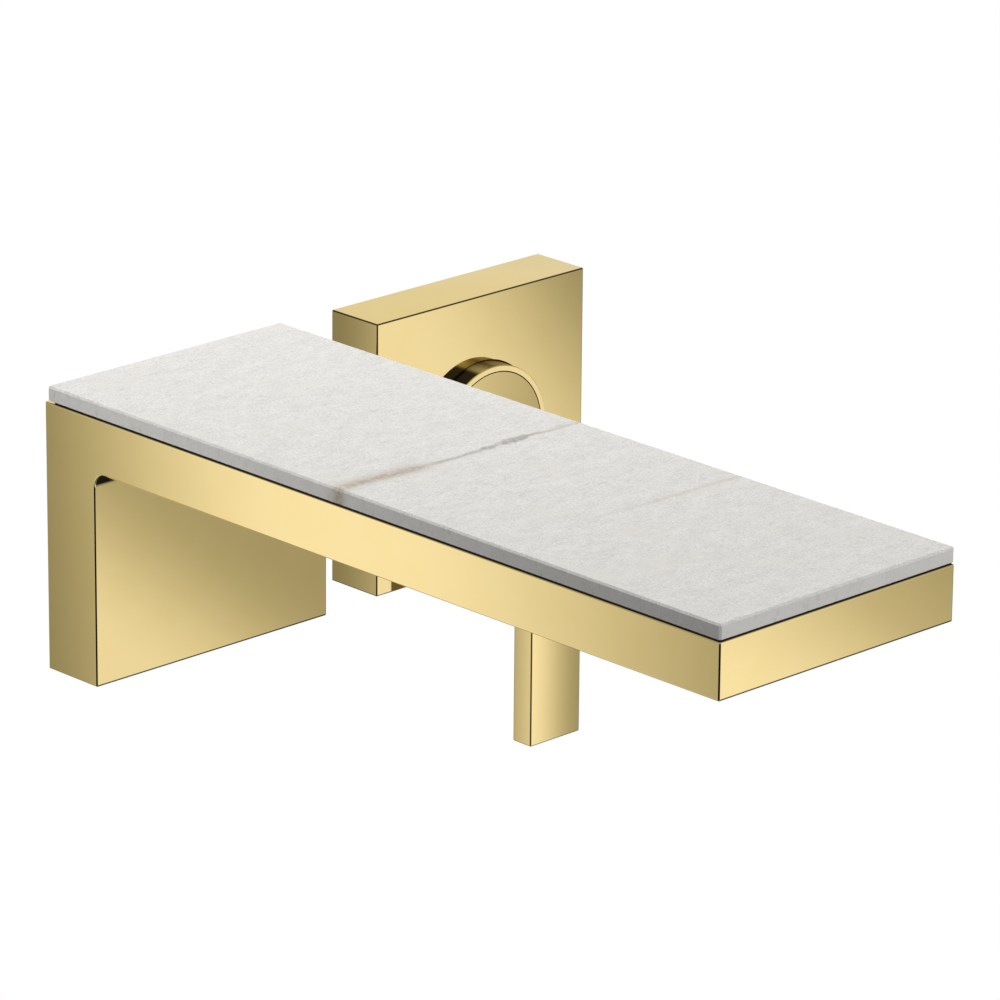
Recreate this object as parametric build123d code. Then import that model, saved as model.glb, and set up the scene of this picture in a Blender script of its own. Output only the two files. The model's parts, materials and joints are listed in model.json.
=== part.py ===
"""Wall-mounted single-lever mixer with a stone-topped plate spout, one STEP file for each piece.

Millimetres. +Z is up, +Y goes into the wall and +X is to the right of someone facing the wall. The wall's
face is the plane y = 0. The origin lies on that plane, at the axis of the spout's inlet.
"""
import os
from math import cos, radians, sin, sqrt

from build123d import *

# Clearances
THREAD_FIT = 0.05       # between a thread's two plain cylinders
RUNNING_FIT = 0.05      # between faces that turn or slide on each other
SLIP_FIT = 0.1          # between pieces that are pushed together
LOOSE_FIT = 0.3         # between faces that must stay apart
O_RING_PINCH = 0.03     # left free beside an O-ring in its groove
SCREW_TIP_GAP = 2.5     # from a screw's tip to the end of its hole
JOIN = 1.0              # how far two forms of one solid run into each other

# Spout
SPOUT_WIDTH = 81.95
SPOUT_REACH = 246.5
SLAB_TOP = 35.5         # above the inlet axis
SLAB_THICKNESS = 15.0
SLAB_FLOOR = 2.5
LEG_THICKNESS = 19.3
LEG_DROP = 39.2         # below the inlet axis
SPOUT_WALL = 3.0
CORNER_RADIUS = 4.0     # under the slab, where it meets the leg
EDGE_ROUND = 0.4        # on all polished edges

# Stone plate and the carrier below it
STONE_THICKNESS = 3.9
STONE_CHAMFER = 0.5
STONE_WALL_GAP = 0.8
SHADOW_GAP = 0.6
SHADOW_INSET = 0.5
TRAY_DEPTH = 2.3
PAD_LENGTH, PAD_THICKNESS = 52.0, 0.4
PAD_EDGE, PAD_MIDDLE_GAP = 7.6, 14.0
PAD_FROM_POST = 30.0    # along the spout, from a screw post's axis to a pad's centre
POST_SIDE = 6.8         # from the pocket's side to a screw post's axis
POST_INSET = 9.0        # from the leg's front and the slab's end wall to a screw post's axis
POST_R = 4.0
CARRIER_SCREW_R = 1.5
CARRIER_HEAD_R, CARRIER_HEAD_HEIGHT = 2.8, 1.4

# Water way inside the spout
CHANNEL_WIDTH, CHANNEL_WALL, CHANNEL_HEADROOM = 24.0, 1.6, 0.7
CHANNEL_SOCKET_WALL, CHANNEL_SPIGOT_WALL, CHANNEL_SPIGOT_LENGTH = 0.6, 0.7, 8.0
CHANNEL_RING_R = 0.6    # O-ring's cord
SOCKET_BLOCK_WIDTH = 17.0
ELBOW_WALL, ELBOW_FRONT_WALL = 3.2, 4.0
RISER_GAP, RISER_WALL = 1.15, 2.0
OUTLET_INSET = 26.0     # from the spout's end to the outlet's axis
OUTLET_R = 10.5
OUTLET_WALL = 4.5
OUTLET_FLANGE, OUTLET_FLANGE_HEIGHT = 1.4, 1.0
OUTLET_RECESS = 0.2
OUTLET_HOUSING_HEIGHT = 5.7
OUTLET_HOUSING_WALL = 1.25
OUTLET_LIP, OUTLET_LIP_HEIGHT = 0.8, 0.6
OUTLET_ROOF = 1.4
GASKET_THICKNESS = 0.8
JET_R, JET_PITCH = 0.65, 2.3
STRAIGHTENER_HEIGHT, LIMITER_HEIGHT, SCREEN_HEIGHT = 2.0, 1.5, 0.6
LIMITER_HOLE_R = 2.2
SCREEN_HOLE_R, SCREEN_PITCH = 0.5, 1.9

# Spout inlet and wall fixing
NIPPLE_R, NIPPLE_WALL = 9.3, 3.3
NIPPLE_INTO_WALL = 13.0
NIPPLE_RING_R = 0.75    # O-ring's cord
BRACKET_THICKNESS = 3.0
BRACKET_SIDE_GAP, BRACKET_TOP_GAP, BRACKET_BOTTOM_GAP = 4.8, 4.7, 8.0
BRACKET_FLANGE_GAP, BRACKET_FLANGE_THICKNESS, BRACKET_FLANGE_WIDTH = 3.3, 2.0, 30.0
BRACKET_SCREW_X = 20.0  # from the inlet axis to either screw's
BRACKET_SCREW_R, BRACKET_HEAD_R, BRACKET_HEAD_HEIGHT = 2.5, 4.2, 2.6
GRUB_R, GRUB_HEX_R, GRUB_HEX_DEPTH = 2.5, 1.25, 2.5
GRUB_BOSS_R, GRUB_BOSS_HEIGHT = 5.0, 3.0
GRUB_RECESS = 0.6
SEAL_WIDTH, SEAL_THICKNESS = 3.0, 1.5

# Handle plate
HANDLE_X = 99.8         # from the spout's centre to the handle's axis
HANDLE_PLATE_SIZE, HANDLE_PLATE_DEPTH, HANDLE_PLATE_WALL = 78.2, 18.0, 2.0
GRIP_RING_R = 1.0
GRIP_RING_DEPTH = 8.0   # from the wall to the grip ring's middle
GRIP_COLLAR_WALL, GRIP_COLLAR_BACK = 5.1, 4.0
CARRIER_FRAME_WALL = 2.5

# Lever
SLEEVE_WALL = 0.75
HUB_FACE = 23.1         # from the wall to the hub's flat face
HUB_FACE_R = 18.0
PIVOT_DEPTH = 5.6       # from that face back to the tilt axis
HUB_FRONT_WALL = 2.6
HUB_WALL = 2.0
HUB_SKIRT = 4.5         # from the tilt axis back to the hub's rear rim
LEVER_WIDTH, LEVER_THICKNESS = 18.9, 7.0
LEVER_STAND_OFF = 41.6  # from the wall to the back of the hanging limb
LEVER_DROP = 82.3       # from the hub's axis to the lever's lower end
TENON_SIDE, TENON_EDGE, TENON_DEPTH = 3.3, 1.2, 1.2
STEM_R, STEM_NECK_R, STEM_END_R = 3.6, 2.4, 3.0
STEM_THREAD_R, STEM_THREAD_LENGTH = 2.0, 13.0
STEM_SLOT_MARGIN = 0.9
TILT_DEG = 20.0
TRUNNION_R, TRUNNION_RECESS = 1.5, 0.5
EAR_STEP, EAR_THICKNESS, EAR_R = 0.5, 5.0, 2.6

# Cartridge, with depths measured from the wall's face into the wall
GUIDE_STEP = 1.4        # from the guide's neck out to its flange
GUIDE_FRONT, GUIDE_FLANGE_FRONT, GUIDE_BACK = -6.0, 1.4, 3.0
HOUSING_WALL, HOUSING_FRONT, HOUSING_LIP_BACK = 1.3, -0.5, 1.2
NUT_FRONT, NUT_GAP = -5.0, 0.5
SLIDE_HALF_WIDTH, SLIDE_RAIL_WIDTH, SLIDE_RAIL_HALF_LENGTH = 9.8, 2.6, 8.0
DISC_CARRIER_THICKNESS, DISC_CARRIER_HEIGHT = 3.9, 16.0
DISC_CARRIER_FLOOR = 0.6
DISC_PEG_R, DISC_PEG_LENGTH, DISC_PEG_X = 1.5, 1.2, 6.5
MOVING_DISC_R, MOVING_DISC_THICKNESS = 11.0, 3.0
MIXING_WIDTH, MIXING_HEIGHT, MIXING_DEPTH = 15.0, 12.0, 1.2
FIXED_DISC_THICKNESS = 4.0
BASE_THICKNESS = 4.5
PORT_R, PORT_SEAL_WALL, PORT_SEAL_HEIGHT = 3.0, 1.2, 1.6
PORT_EDGE = 5.3         # from the fixed disc's edge to an inlet port's axis
PORT_ANGLE_DEG = 35.0   # of either inlet port below the level line
OUTLET_PORT_Z = 3.0
DISC_SLACK = 0.3        # between the fixed disc and the base, taken up by the port seals

# Valve body behind the wall
NECK_WALL = 1.7
BODY_STEP = 0.9         # from the neck out to the body
BODY_SHOULDER = 1.0     # from the wall's face to the body's shoulder
BODY_BACK_WALL = 1.5
BODY_BACK_CHAMFER = 9.0
DUCT_R, DUCT_BORE_R = 7.5, 5.0
DUCT_FRONT_WALL, DUCT_END_WALL = 2.2, 1.6
DUCT_Z = 4.0
CUP_WALL, CUP_DEPTH, CUP_LENGTH = 2.0, 7.0, 9.0    # round each end of the outlet pipe
SPOUT_CUP_X, BODY_CUP_X = 24.0, 32.0    # from the spout's and the handle's axes to the cups' mouths
SPOUT_BOSS_WALL, SPOUT_BOSS_STEP = 4.7, 2.0
LUG_R, LUG_BACK, LUG_WEB = 5.5, 13.0, 8.0
INLET_X = 14.0          # from the handle's axis to either inlet's
INLET_FRONT_WALL = 1.2
INLET_BOSS_R, INLET_THREAD_R, INLET_BORE_R = 13.0, 9.3, 6.5
INLET_DROP = 34.0
INLET_THREAD_LENGTH = 12.0
CHECK_VALVE_GAP = 6.7   # from a check valve's end to the end of its bore
CHECK_VALVE_BORE_R = 3.6
FILTER_THICKNESS = 0.8
FILTER_HOLE_R, FILTER_PITCH = 0.6, 2.1
PLUG_LENGTH = 6.0
RAIL_FOOT_WIDTH, RAIL_FOOT_HEIGHT = 15.0, 18.0
RAIL_RISE = 3.0         # from the inlet threads' upper ends to the rail's middle
RAIL_GAP = 0.5          # between the rail and the inlet bosses
RAIL_OFFSET = 13.0      # from the handle's axis to the rail's middle, towards the spout
RAIL_LENGTH, RAIL_HEIGHT, RAIL_THICKNESS = 126.0, 32.0, 3.0
RAIL_HOLE_R = 3.25
RAIL_HOLE_END, RAIL_HOLE_EDGE = 8.0, 8.0    # from the rail's end and edge to a hole's axis
RAIL_SCREW_R, RAIL_HEAD_R, RAIL_HEAD_HEIGHT = 2.0, 3.6, 2.0
RAIL_SCREW_WALL = 1.0   # left between a rail screw's hole and the inlet's bore
RAIL_SCREW_GAP = 1.0    # from a rail screw's tip to the end of its hole

# Places in the spout
slab_bottom = SLAB_TOP - SLAB_THICKNESS
pocket_floor = slab_bottom + SLAB_FLOOR
half_inside = SPOUT_WIDTH / 2 - SPOUT_WALL
leg_inside = LEG_THICKNESS - SPOUT_WALL
leg_floor = -LEG_DROP + SPOUT_WALL
pocket_end = SPOUT_REACH - SPOUT_WALL
stone_bottom = SLAB_TOP + SHADOW_GAP
tray_bottom = SLAB_TOP - TRAY_DEPTH
lip_half = SPOUT_WIDTH / 2 - SHADOW_INSET
post_x = half_inside - POST_SIDE
post_back, post_front = -LEG_THICKNESS - POST_INSET, -pocket_end + POST_INSET
post_places = [(side * post_x, y) for side in (-1, 1) for y in (post_back, post_front)]
pad_width = lip_half - PAD_EDGE - PAD_MIDDLE_GAP / 2
pad_x = (PAD_MIDDLE_GAP + pad_width) / 2
pad_places = [(side * pad_x, y) for side in (-1, 1)
              for y in (post_back - PAD_FROM_POST, post_front + PAD_FROM_POST)]

# Places in the water way
channel_height = tray_bottom - pocket_floor - LOOSE_FIT - CHANNEL_HEADROOM
channel_z = pocket_floor + LOOSE_FIT + channel_height / 2
channel_spigot_r = channel_height / 2 - CHANNEL_SOCKET_WALL - SLIP_FIT
channel_groove_r = channel_spigot_r + SLIP_FIT - 2 * CHANNEL_RING_R
channel_bore_r = channel_groove_r - CHANNEL_SPIGOT_WALL
socket_front = LEG_THICKNESS + CHANNEL_SPIGOT_LENGTH
riser_y = -(BRACKET_THICKNESS + leg_inside) / 2
riser_r = (leg_inside - BRACKET_THICKNESS) / 2 - RISER_GAP
outlet_y = OUTLET_INSET - SPOUT_REACH
outlet_top = tray_bottom - LOOSE_FIT
outlet_holder_bottom = pocket_floor + GASKET_THICKNESS
outlet_holder_r = OUTLET_R + OUTLET_WALL
outlet_face = slab_bottom + OUTLET_RECESS
outlet_flange_r = OUTLET_R + OUTLET_FLANGE
outlet_inside_r = OUTLET_R - OUTLET_HOUSING_WALL
outlet_socket = outlet_y + outlet_holder_r + CHANNEL_SPIGOT_LENGTH / 2
insert_bottom = outlet_face + OUTLET_LIP_HEIGHT
channel_rings = [-socket_front + CHANNEL_SPIGOT_LENGTH / 2, outlet_socket - CHANNEL_SPIGOT_LENGTH / 2]
nipple_bore_r = NIPPLE_R - NIPPLE_WALL
nipple_spigot_r = NIPPLE_R - THREAD_FIT - SLIP_FIT
nipple_end = -leg_inside + LOOSE_FIT + ELBOW_FRONT_WALL
nipple_ring_step = (-nipple_end - BRACKET_THICKNESS) / 3
nipple_rings = [-BRACKET_THICKNESS - nipple_ring_step, -BRACKET_THICKNESS - 2 * nipple_ring_step]
bracket_bottom = leg_floor + BRACKET_BOTTOM_GAP
bracket_screws_x = [-BRACKET_SCREW_X, BRACKET_SCREW_X]

# Places in the handle and the cartridge
handle_half = HANDLE_PLATE_SIZE / 2
handle_inside = handle_half - HANDLE_PLATE_WALL
pivot_y = -HUB_FACE + PIVOT_DEPTH
hub_r = sqrt(HUB_FACE_R ** 2 + PIVOT_DEPTH ** 2)
hub_inner_face = -HUB_FACE + HUB_FRONT_WALL
hub_space_r = hub_r + LOOSE_FIT
sleeve_r = hub_space_r + SLEEVE_WALL
sleeve_hole_r = sleeve_r + SLIP_FIT
neck_r = hub_space_r - RUNNING_FIT
pocket_r = neck_r - NECK_WALL
body_r = neck_r + BODY_STEP
housing_r = pocket_r - SLIP_FIT
housing_bore_r = housing_r - HOUSING_WALL
guide_flange_r = housing_bore_r - SLIP_FIT
guide_r = guide_flange_r - GUIDE_STEP
ear_outer = guide_r - EAR_STEP
ear_inner = ear_outer - EAR_THICKNESS
slide_front = GUIDE_BACK + LOOSE_FIT
moving_front = slide_front + DISC_CARRIER_THICKNESS
fixed_front = moving_front + MOVING_DISC_THICKNESS
base_front = fixed_front + FIXED_DISC_THICKNESS + DISC_SLACK
base_back = base_front + BASE_THICKNESS
pocket_back = base_back + PORT_SEAL_HEIGHT / 2
stem_end_y = moving_front - DISC_CARRIER_FLOOR - LOOSE_FIT - STEM_END_R
stem_arm = stem_end_y - pivot_y
stroke = stem_arm * radians(TILT_DEG)
slide_z = stroke / 2
pegs_x = [HANDLE_X - DISC_PEG_X, HANDLE_X + DISC_PEG_X]
fixed_disc_r = housing_bore_r - LOOSE_FIT
port_circle_r = fixed_disc_r - PORT_EDGE
inlet_port_x = port_circle_r * cos(radians(PORT_ANGLE_DEG))
inlet_port_z = -port_circle_r * sin(radians(PORT_ANGLE_DEG))
inlet_ports_x = [HANDLE_X - inlet_port_x, HANDLE_X + inlet_port_x]
ports = [(x, inlet_port_z) for x in inlet_ports_x] + [(HANDLE_X, OUTLET_PORT_Z)]
seal_seat_r = PORT_R + PORT_SEAL_WALL + SLIP_FIT

# Places in the valve body
duct_depth = pocket_back + DUCT_FRONT_WALL + DUCT_BORE_R
duct_plug_end = HANDLE_X + sqrt(body_r ** 2 - (DUCT_Z + DUCT_BORE_R) ** 2)
pipe_socket_r = DUCT_R + SLIP_FIT
cup_r = pipe_socket_r + CUP_WALL
body_cup_mouth = HANDLE_X - BODY_CUP_X
body_back = duct_depth + DUCT_R + BODY_BACK_WALL
inlets_x = [HANDLE_X - INLET_X, HANDLE_X + INLET_X]
inlet_depth = pocket_back + INLET_FRONT_WALL + INLET_BORE_R
inlet_bore_top = inlet_port_z + PORT_R / 2
thread_top = -INLET_DROP + INLET_THREAD_LENGTH
check_valve_top = inlet_bore_top - CHECK_VALVE_GAP
rail_z = thread_top + RAIL_RISE
rail_face = inlet_depth + INLET_BOSS_R + RAIL_GAP
rail_screw_hole_end = inlet_depth + INLET_BORE_R + RAIL_SCREW_WALL
rail_back = rail_face + RAIL_THICKNESS
rail_centre_x = HANDLE_X - RAIL_OFFSET
rail_hole_x, rail_hole_z = RAIL_LENGTH / 2 - RAIL_HOLE_END, RAIL_HEIGHT / 2 - RAIL_HOLE_EDGE
rail_holes = [(rail_centre_x + i * rail_hole_x, rail_z + j * rail_hole_z) for i in (-1, 1) for j in (-1, 1)]


def block(x0, x1, y0, y1, z0, z1):
    """A box between two corners."""
    centre = Pos((x0 + x1) / 2, (y0 + y1) / 2, (z0 + z1) / 2)
    return centre * Box(abs(x1 - x0), abs(y1 - y0), abs(z1 - z0))


def rod_x(y, z, r, x0, x1):
    """A cylinder along X."""
    return Pos((x0 + x1) / 2, y, z) * Rot(0, 90, 0) * Cylinder(r, abs(x1 - x0))


def rod_y(x, z, r, y0, y1):
    """A cylinder along Y."""
    return Pos(x, (y0 + y1) / 2, z) * Rot(90, 0, 0) * Cylinder(r, abs(y1 - y0))


def rod_z(x, y, r, z0, z1):
    """A cylinder along Z."""
    return Pos(x, y, (z0 + z1) / 2) * Cylinder(r, abs(z1 - z0))


def handle_rod(r, y0, y1):
    """A cylinder on the handle's axis."""
    return rod_y(HANDLE_X, 0, r, y0, y1)


def handle_block(half_x, y0, y1, z0, z1):
    """A box that is centred on the handle's axis from side to side."""
    return block(HANDLE_X - half_x, HANDLE_X + half_x, y0, y1, z0, z1)


def hub_ball(r):
    """A ball round the middle of the tilt axis."""
    return Pos(HANDLE_X, pivot_y, 0) * Sphere(r)


def ring_y(x, z, y, big_r, cord_r):
    """An O-ring round an axis along Y."""
    return Pos(x, y, z) * Rot(90, 0, 0) * Torus(big_r, cord_r)


def ring_groove(z, y, spigot_r, cord_r):
    """What an O-ring's groove takes off a spigot along Y."""
    outside = rod_y(0, z, spigot_r + cord_r, y - cord_r, y + cord_r)
    return outside - rod_y(0, z, spigot_r + SLIP_FIT - 2 * cord_r, y - cord_r, y + cord_r)


def hex_socket(r, depth):
    """A six-sided key hole that starts at the origin and goes up."""
    return extrude(RegularPolygon(r, 6), depth)


def group(pieces):
    """Separate solids kept together as one node."""
    return Compound(children=list(pieces))


def edges_in_front_of(part, y):
    """All edges but those that lie wholly behind a plane."""
    return [edge for edge in part.edges() if edge.bounding_box().min.Y < y - EDGE_ROUND]


def hole_grid(centre_x, centre_y, hole_r, pitch, within_r, z0, z1):
    """A square grid of holes along Z inside a circle."""
    holes = []
    count = int(within_r / pitch)
    for i in range(-count, count + 1):
        for j in range(-count, count + 1):
            x, y = i * pitch, j * pitch
            if sqrt(x * x + y * y) + hole_r < within_r:
                holes.append(rod_z(centre_x + x, centre_y + y, hole_r, z0, z1))
    return holes


# Spout


def spout_body():
    corners = [(0, -LEG_DROP), (-LEG_THICKNESS, -LEG_DROP), (-LEG_THICKNESS, slab_bottom),
               (-SPOUT_REACH, slab_bottom), (-SPOUT_REACH, SLAB_TOP), (0, SLAB_TOP)]
    profile = make_face(Polyline(*corners, close=True))
    inner_corner = profile.vertices().sort_by_distance((-LEG_THICKNESS, slab_bottom, 0))[0]
    profile = fillet(inner_corner, CORNER_RADIUS)
    shell = extrude(Plane.YZ * profile, SPOUT_WIDTH / 2, both=True)
    shell = fillet(edges_in_front_of(shell, 0), EDGE_ROUND)
    shell -= block(-half_inside, half_inside, -leg_inside, 0, leg_floor, slab_bottom)
    shell -= block(-half_inside, half_inside, -leg_inside, -SPOUT_WALL, 0, SLAB_TOP)
    shell -= block(-half_inside, half_inside, -pocket_end, -SPOUT_WALL, pocket_floor, SLAB_TOP)
    for x, y in post_places:
        shell += rod_z(x, y, POST_R, pocket_floor - SLAB_FLOOR / 2, tray_bottom)
        shell -= rod_z(x, y, CARRIER_SCREW_R + THREAD_FIT, pocket_floor, tray_bottom)
    shell -= rod_z(0, outlet_y, outlet_flange_r + SLIP_FIT, slab_bottom, outlet_face + OUTLET_FLANGE_HEIGHT)
    shell -= rod_z(0, outlet_y, OUTLET_R + SLIP_FIT, slab_bottom, pocket_floor)
    boss_top = leg_floor + GRUB_BOSS_HEIGHT
    shell += rod_z(0, riser_y, GRUB_BOSS_R, leg_floor - SPOUT_WALL / 2, boss_top)
    return shell - rod_z(0, riser_y, GRUB_R + THREAD_FIT, -LEG_DROP, boss_top)


def stone_plate():
    half = SPOUT_WIDTH / 2
    plate = block(-half, half, -SPOUT_REACH, -STONE_WALL_GAP, stone_bottom, stone_bottom + STONE_THICKNESS)
    upright = plate.edges().filter_by(Axis.Z)
    rim = plate.faces().sort_by(Axis.Z)[-1].edges()
    return chamfer(upright + rim, STONE_CHAMFER)


def plate_carrier():
    half = half_inside - SLIP_FIT
    back = -SPOUT_WALL - SLIP_FIT
    tray = block(-half, half, -pocket_end + SLIP_FIT, back, tray_bottom, SLAB_TOP)
    tray += block(-lip_half, lip_half, -SPOUT_REACH + SHADOW_INSET, back, SLAB_TOP, stone_bottom)
    for x, y in post_places:
        tray -= rod_z(x, y, CARRIER_SCREW_R + SLIP_FIT, tray_bottom, stone_bottom)
        tray -= rod_z(x, y, CARRIER_HEAD_R + SLIP_FIT, stone_bottom - CARRIER_HEAD_HEIGHT, stone_bottom)
    half_x, half_y = pad_width / 2, PAD_LENGTH / 2
    for x, y in pad_places:
        tray -= block(x - half_x, x + half_x, y - half_y, y + half_y,
                      stone_bottom - PAD_THICKNESS, stone_bottom)
    return tray


def stone_bond_pads():
    pads = []
    half_x, half_y = pad_width / 2 - SLIP_FIT, PAD_LENGTH / 2 - SLIP_FIT
    for x, y in pad_places:
        pads.append(block(x - half_x, x + half_x, y - half_y, y + half_y,
                          stone_bottom - PAD_THICKNESS, stone_bottom))
    return group(pads)


def carrier_screws():
    screws = []
    seat = stone_bottom - CARRIER_HEAD_HEIGHT
    for x, y in post_places:
        screw = rod_z(x, y, CARRIER_HEAD_R, seat, stone_bottom - SLIP_FIT)
        screw += rod_z(x, y, CARRIER_SCREW_R, pocket_floor + SCREW_TIP_GAP, seat)
        key = hex_socket(CARRIER_SCREW_R, CARRIER_HEAD_HEIGHT)
        screws.append(screw - Pos(x, y, seat + CARRIER_HEAD_HEIGHT / 2) * key)
    return group(screws)


def spout_elbow():
    half = SOCKET_BLOCK_WIDTH / 2
    low, high = channel_z - channel_height / 2, channel_z + channel_height / 2
    elbow = rod_y(0, 0, NIPPLE_R + ELBOW_WALL, -leg_inside + LOOSE_FIT, -BRACKET_THICKNESS)
    elbow += rod_z(0, riser_y, riser_r, 0, channel_z)
    elbow += block(-half, half, -socket_front, riser_y + riser_r, low, high)
    elbow -= rod_y(0, 0, nipple_spigot_r + SLIP_FIT, nipple_end - LOOSE_FIT, -BRACKET_THICKNESS)
    elbow -= rod_z(0, riser_y, riser_r - RISER_WALL, 0, channel_z)
    elbow -= rod_y(0, channel_z, channel_bore_r, -socket_front, riser_y)
    socket_back = -socket_front + CHANNEL_SPIGOT_LENGTH + LOOSE_FIT
    return elbow - rod_y(0, channel_z, channel_spigot_r + SLIP_FIT, -socket_front, socket_back)


def water_channel():
    half, wall = CHANNEL_WIDTH / 2, CHANNEL_WALL
    bottom, top = channel_z - channel_height / 2, channel_z + channel_height / 2
    duct = block(-half, half, outlet_socket, -socket_front, bottom, top)
    duct = fillet(duct.edges().filter_by(Axis.Y), wall)
    duct -= block(-half + wall, half - wall, outlet_socket + wall, -socket_front - wall,
                  bottom + wall, top - wall)
    low_end, high_end = outlet_socket - CHANNEL_SPIGOT_LENGTH, -socket_front + CHANNEL_SPIGOT_LENGTH
    duct += rod_y(0, channel_z, channel_spigot_r, low_end, outlet_socket + wall / 2)
    duct += rod_y(0, channel_z, channel_spigot_r, -socket_front - wall / 2, high_end)
    for y in channel_rings:
        duct -= ring_groove(channel_z, y, channel_spigot_r, CHANNEL_RING_R)
    return duct - rod_y(0, channel_z, channel_bore_r, low_end, high_end)


def channel_o_rings():
    middle_r = channel_groove_r + CHANNEL_RING_R
    return group(ring_y(0, channel_z, y, middle_r, CHANNEL_RING_R - O_RING_PINCH) for y in channel_rings)


def outlet_holder():
    half = SOCKET_BLOCK_WIDTH / 2
    holder = rod_z(0, outlet_y, outlet_holder_r, outlet_holder_bottom, outlet_top)
    holder += block(-half, half, outlet_y, outlet_socket, outlet_holder_bottom, outlet_top)
    housing_top = outlet_face + OUTLET_HOUSING_HEIGHT
    holder -= rod_z(0, outlet_y, OUTLET_R + THREAD_FIT, outlet_holder_bottom, housing_top + LOOSE_FIT)
    holder -= rod_z(0, outlet_y, OUTLET_R - OUTLET_LIP, housing_top, outlet_top - OUTLET_ROOF)
    holder -= rod_y(0, channel_z, channel_bore_r, outlet_y, outlet_socket)
    socket_end = outlet_socket - CHANNEL_SPIGOT_LENGTH - LOOSE_FIT
    return holder - rod_y(0, channel_z, channel_spigot_r + SLIP_FIT, socket_end, outlet_socket)


def outlet_gasket():
    ring = rod_z(0, outlet_y, outlet_holder_r, pocket_floor, outlet_holder_bottom)
    return ring - rod_z(0, outlet_y, OUTLET_R + SLIP_FIT, pocket_floor, outlet_holder_bottom)


def outlet_housing():
    top = outlet_face + OUTLET_HOUSING_HEIGHT
    housing = rod_z(0, outlet_y, outlet_flange_r, outlet_face, outlet_face + OUTLET_FLANGE_HEIGHT)
    housing += rod_z(0, outlet_y, OUTLET_R, outlet_face, top)
    housing -= rod_z(0, outlet_y, outlet_inside_r - OUTLET_LIP, outlet_face, top)
    return housing - rod_z(0, outlet_y, outlet_inside_r, insert_bottom, top)


def outlet_insert(bottom, height):
    """A disc that drops into the outlet housing."""
    return rod_z(0, outlet_y, outlet_inside_r - SLIP_FIT, bottom, bottom + height)


def flow_straightener():
    top = insert_bottom + STRAIGHTENER_HEIGHT
    holes = hole_grid(0, outlet_y, JET_R, JET_PITCH, outlet_inside_r - OUTLET_LIP, insert_bottom, top)
    return outlet_insert(insert_bottom, STRAIGHTENER_HEIGHT) - holes


def flow_limiter():
    bottom = insert_bottom + STRAIGHTENER_HEIGHT
    hole = rod_z(0, outlet_y, LIMITER_HOLE_R, bottom, bottom + LIMITER_HEIGHT)
    return outlet_insert(bottom, LIMITER_HEIGHT) - hole


def filter_screen():
    bottom = insert_bottom + STRAIGHTENER_HEIGHT + LIMITER_HEIGHT
    top = bottom + SCREEN_HEIGHT
    holes = hole_grid(0, outlet_y, SCREEN_HOLE_R, SCREEN_PITCH, outlet_inside_r - OUTLET_LIP, bottom, top)
    return outlet_insert(bottom, SCREEN_HEIGHT) - holes


def spout_nipple():
    nipple = rod_y(0, 0, NIPPLE_R - THREAD_FIT, 0, NIPPLE_INTO_WALL)
    nipple += rod_y(0, 0, nipple_spigot_r, nipple_end, 0)
    for y in nipple_rings:
        nipple -= ring_groove(0, y, nipple_spigot_r, NIPPLE_RING_R)
    return nipple - rod_y(0, 0, nipple_bore_r, nipple_end, NIPPLE_INTO_WALL)


def nipple_o_rings():
    middle_r = nipple_spigot_r + SLIP_FIT - NIPPLE_RING_R
    return group(ring_y(0, 0, y, middle_r, NIPPLE_RING_R - O_RING_PINCH) for y in nipple_rings)


def spout_wall_bracket():
    half, flange_half = half_inside - BRACKET_SIDE_GAP, BRACKET_FLANGE_WIDTH / 2
    plate = block(-half, half, -BRACKET_THICKNESS, 0, bracket_bottom, slab_bottom - BRACKET_TOP_GAP)
    plate += block(-flange_half, flange_half, -leg_inside + BRACKET_FLANGE_GAP, 0,
                   bracket_bottom, bracket_bottom + BRACKET_FLANGE_THICKNESS)
    plate -= rod_y(0, 0, NIPPLE_R + SLIP_FIT, -BRACKET_THICKNESS, 0)
    for x in bracket_screws_x:
        plate -= rod_y(x, 0, BRACKET_SCREW_R + SLIP_FIT, -BRACKET_THICKNESS, 0)
    return plate


def bracket_screws():
    screws = []
    seat = -BRACKET_THICKNESS
    front = seat - BRACKET_HEAD_HEIGHT
    slot = BRACKET_HEAD_HEIGHT / 2
    for x in bracket_screws_x:
        screw = rod_y(x, 0, BRACKET_HEAD_R, front, seat)
        screw += rod_y(x, 0, BRACKET_SCREW_R, seat, LUG_BACK - SCREW_TIP_GAP)
        screw -= block(x - BRACKET_HEAD_R, x + BRACKET_HEAD_R, front, front + slot, -slot / 2, slot / 2)
        screws.append(screw)
    return group(screws)


def spout_grub_screw():
    bottom = -LEG_DROP + GRUB_RECESS
    screw = rod_z(0, riser_y, GRUB_R, bottom, bracket_bottom)
    return screw - Pos(0, riser_y, bottom) * hex_socket(GRUB_HEX_R, GRUB_HEX_DEPTH)


def wall_seal(x0, x1, z0, z1):
    """A square rubber frame on the wall's face, inside a cover's rim."""
    width = SEAL_WIDTH
    frame = block(x0, x1, -SEAL_THICKNESS, 0, z0, z1)
    return frame - block(x0 + width, x1 - width, -SEAL_THICKNESS, 0, z0 + width, z1 - width)


def spout_wall_seal():
    half = half_inside - SLIP_FIT
    return wall_seal(-half, half, leg_floor + SLIP_FIT, slab_bottom - SLIP_FIT)


# Handle plate and lever


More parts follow.
